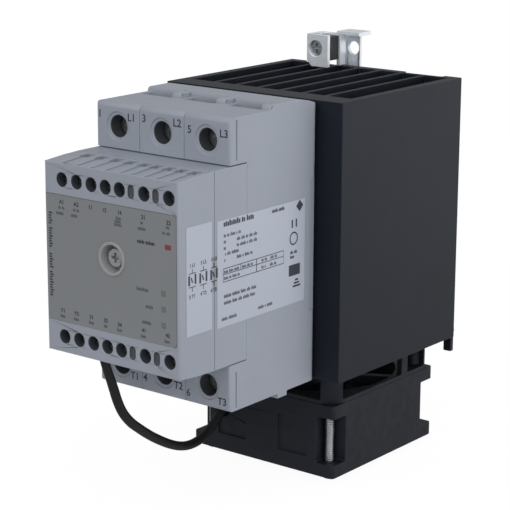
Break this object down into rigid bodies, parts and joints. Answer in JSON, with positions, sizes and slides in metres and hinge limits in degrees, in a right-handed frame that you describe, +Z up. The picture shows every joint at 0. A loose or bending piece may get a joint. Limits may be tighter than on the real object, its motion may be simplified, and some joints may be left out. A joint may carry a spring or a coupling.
{
  "type": "solid state relay",
  "caption": "Boxy three-pole solid state relay: light grey terminal and control housings on a black finned heatsink with a square fan below and a rail clip behind.",
  "frame": {"origin": "middle of the flat pad at the back that rests on the mounting rail", "axes": "+X to the right seen from the front, +Y out of the back towards the rail, +Z up"},
  "size_m": [0.0724, 0.1437, 0.1428],
  "materials": {
    "black_aluminium": "satin black anodised extrusion",
    "black_plastic": "moulded fibre-filled plastic",
    "copper_winding": "enamelled wire",
    "bearing_steel": "ground steel",
    "screw_steel": "zinc plated steel",
    "black_steel": "black coated steel sheet",
    "zinc_sheet": "bright zinc plated sheet",
    "grey_housing": "fine textured light grey moulding",
    "copper": "bare copper",
    "ceramic": "white alumina",
    "silicon": "passivated chip",
    "tinned_copper": "tin plated copper and steel",
    "board_green": "solder mask",
    "varistor_blue": "dipped coating",
    "connector_black": "moulded header",
    "relay_case": "relay case",
    "pot_blue": "trimmer body",
    "knob_grey": "moulded knob",
    "plate_grey": "printed film",
    "lamp_lens": "light guide",
    "terminal_green": "terminal moulding",
    "label_film": "printed film label",
    "plug_nylon": "nylon plug",
    "lead_black": "soft sheath"
  },
  "bodies": {
    "relay": {"heatsink": "black_aluminium", "fan_duct": "black_plastic", "fan_frame": "black_plastic", "fan_stator": "copper_winding", "fan_bearings": "bearing_steel", "fan_screws": "screw_steel", "duct_screws": "screw_steel", "rail_plate": "black_steel", "rail_plate_screws": "screw_steel", "latch_rivets": "screw_steel", "latch_spring_left": "screw_steel", "latch_spring_right": "screw_steel", "earth_bracket": "zinc_sheet", "earth_nut": "black_steel", "bracket_screw": "screw_steel", "pole_housing_1": "grey_housing", "pole_housing_2": "grey_housing", "pole_housing_3": "grey_housing", "housing_screws": "screw_steel", "thermal_plate": "copper", "ceramic_substrates": "ceramic", "thyristor_chips": "silicon", "line_busbars": "tinned_copper", "load_busbars": "tinned_copper", "carrier_cover": "grey_housing", "driver_board": "board_green", "varistors": "varistor_blue", "board_link": "connector_black", "control_housing": "grey_housing", "control_board": "board_green", "alarm_relay": "relay_case", "potentiometer": "pot_blue", "knob_bezel": "grey_housing", "faceplate": "plate_grey", "status_lamps": "lamp_lens", "control_terminals_top": "terminal_green", "control_terminals_bottom": "terminal_green", "control_screws_top": "screw_steel", "control_screws_bottom": "screw_steel", "control_label": "label_film", "rating_label": "label_film", "lead_plug": "plug_nylon", "fan_lead": "lead_black"},
    "fan_rotor": {"fan_rotor": "black_plastic", "fan_shaft": "bearing_steel"},
    "rail_latch": {"rail_latch": "black_steel"},
    "setpoint_knob": {"setpoint_knob": "knob_grey"},
    "earth_screw": {"earth_screw": "screw_steel"},
    "line_screw_1": {"line_screw_1": "tinned_copper"},
    "line_cage_1": {"line_cage_1": "tinned_copper"},
    "line_screw_2": {"line_screw_2": "tinned_copper"},
    "line_cage_2": {"line_cage_2": "tinned_copper"},
    "line_screw_3": {"line_screw_3": "tinned_copper"},
    "line_cage_3": {"line_cage_3": "tinned_copper"},
    "load_screw_1": {"load_screw_1": "tinned_copper"},
    "load_cage_1": {"load_cage_1": "tinned_copper"},
    "load_screw_2": {"load_screw_2": "tinned_copper"},
    "load_cage_2": {"load_cage_2": "tinned_copper"},
    "load_screw_3": {"load_screw_3": "tinned_copper"},
    "load_cage_3": {"load_cage_3": "tinned_copper"}
  },
  "joints": [
    {"name": "fan_spin", "type": "hinge", "parent": "relay", "child": "fan_rotor", "pos_m": [0, -0.0356, -0.0727], "axis": [0, 0, 1], "continuous": true},
    {"name": "latch_slide", "type": "slide", "parent": "relay", "child": "rail_latch", "axis": [0, 0, -1], "range_m": [0, 0.004], "stiffness_N_per_m": 900, "springref_m": -0.004, "deforming": ["latch_spring_left", "latch_spring_right"]},
    {"name": "setpoint_turn", "type": "hinge", "parent": "relay", "child": "setpoint_knob", "pos_m": [0.0006, -0.1371, 0.0033], "axis": [0, -1, 0], "range_deg": [-135, 135]},
    {"name": "earth_screw_turn", "type": "hinge", "parent": "relay", "child": "earth_screw", "pos_m": [-0.0167, -0.0114, 0.0523], "axis": [0, -1, 0], "range_deg": [-360, 360]},
    {"name": "line_screw_1_turn", "type": "hinge", "parent": "relay", "child": "line_screw_1", "pos_m": [-0.018, -0.1103, 0.0383], "axis": [0, -1, 0], "range_deg": [0, 1080]},
    {"name": "line_cage_1_slide", "type": "slide", "parent": "relay", "child": "line_cage_1", "axis": [0, -1, 0], "range_m": [0, 0.0024]},
    {"name": "line_screw_2_turn", "type": "hinge", "parent": "relay", "child": "line_screw_2", "pos_m": [0, -0.1103, 0.0383], "axis": [0, -1, 0], "range_deg": [0, 1080]},
    {"name": "line_cage_2_slide", "type": "slide", "parent": "relay", "child": "line_cage_2", "axis": [0, -1, 0], "range_m": [0, 0.0024]},
    {"name": "line_screw_3_turn", "type": "hinge", "parent": "relay", "child": "line_screw_3", "pos_m": [0.018, -0.1103, 0.0383], "axis": [0, -1, 0], "range_deg": [0, 1080]},
    {"name": "line_cage_3_slide", "type": "slide", "parent": "relay", "child": "line_cage_3", "axis": [0, -1, 0], "range_m": [0, 0.0024]},
    {"name": "load_screw_1_turn", "type": "hinge", "parent": "relay", "child": "load_screw_1", "pos_m": [-0.018, -0.1103, -0.0391], "axis": [0, -1, 0], "range_deg": [0, 1080]},
    {"name": "load_cage_1_slide", "type": "slide", "parent": "relay", "child": "load_cage_1", "axis": [0, -1, 0], "range_m": [0, 0.0024]},
    {"name": "load_screw_2_turn", "type": "hinge", "parent": "relay", "child": "load_screw_2", "pos_m": [0, -0.1103, -0.0391], "axis": [0, -1, 0], "range_deg": [0, 1080]},
    {"name": "load_cage_2_slide", "type": "slide", "parent": "relay", "child": "load_cage_2", "axis": [0, -1, 0], "range_m": [0, 0.0024]},
    {"name": "load_screw_3_turn", "type": "hinge", "parent": "relay", "child": "load_screw_3", "pos_m": [0.018, -0.1103, -0.0391], "axis": [0, -1, 0], "range_deg": [0, 1080]},
    {"name": "load_cage_3_slide", "type": "slide", "parent": "relay", "child": "load_cage_3", "axis": [0, -1, 0], "range_m": [0, 0.0024]}
  ],
  "couplings": [
    {"joint": "line_screw_1_turn", "follows": "line_cage_1_slide", "rad_per_m": 7853.9},
    {"joint": "line_screw_2_turn", "follows": "line_cage_2_slide", "rad_per_m": 7853.9},
    {"joint": "line_screw_3_turn", "follows": "line_cage_3_slide", "rad_per_m": 7853.9},
    {"joint": "load_screw_1_turn", "follows": "load_cage_1_slide", "rad_per_m": 7853.9},
    {"joint": "load_screw_2_turn", "follows": "load_cage_2_slide", "rad_per_m": 7853.9},
    {"joint": "load_screw_3_turn", "follows": "load_cage_3_slide", "rad_per_m": 7853.9}
  ]
}
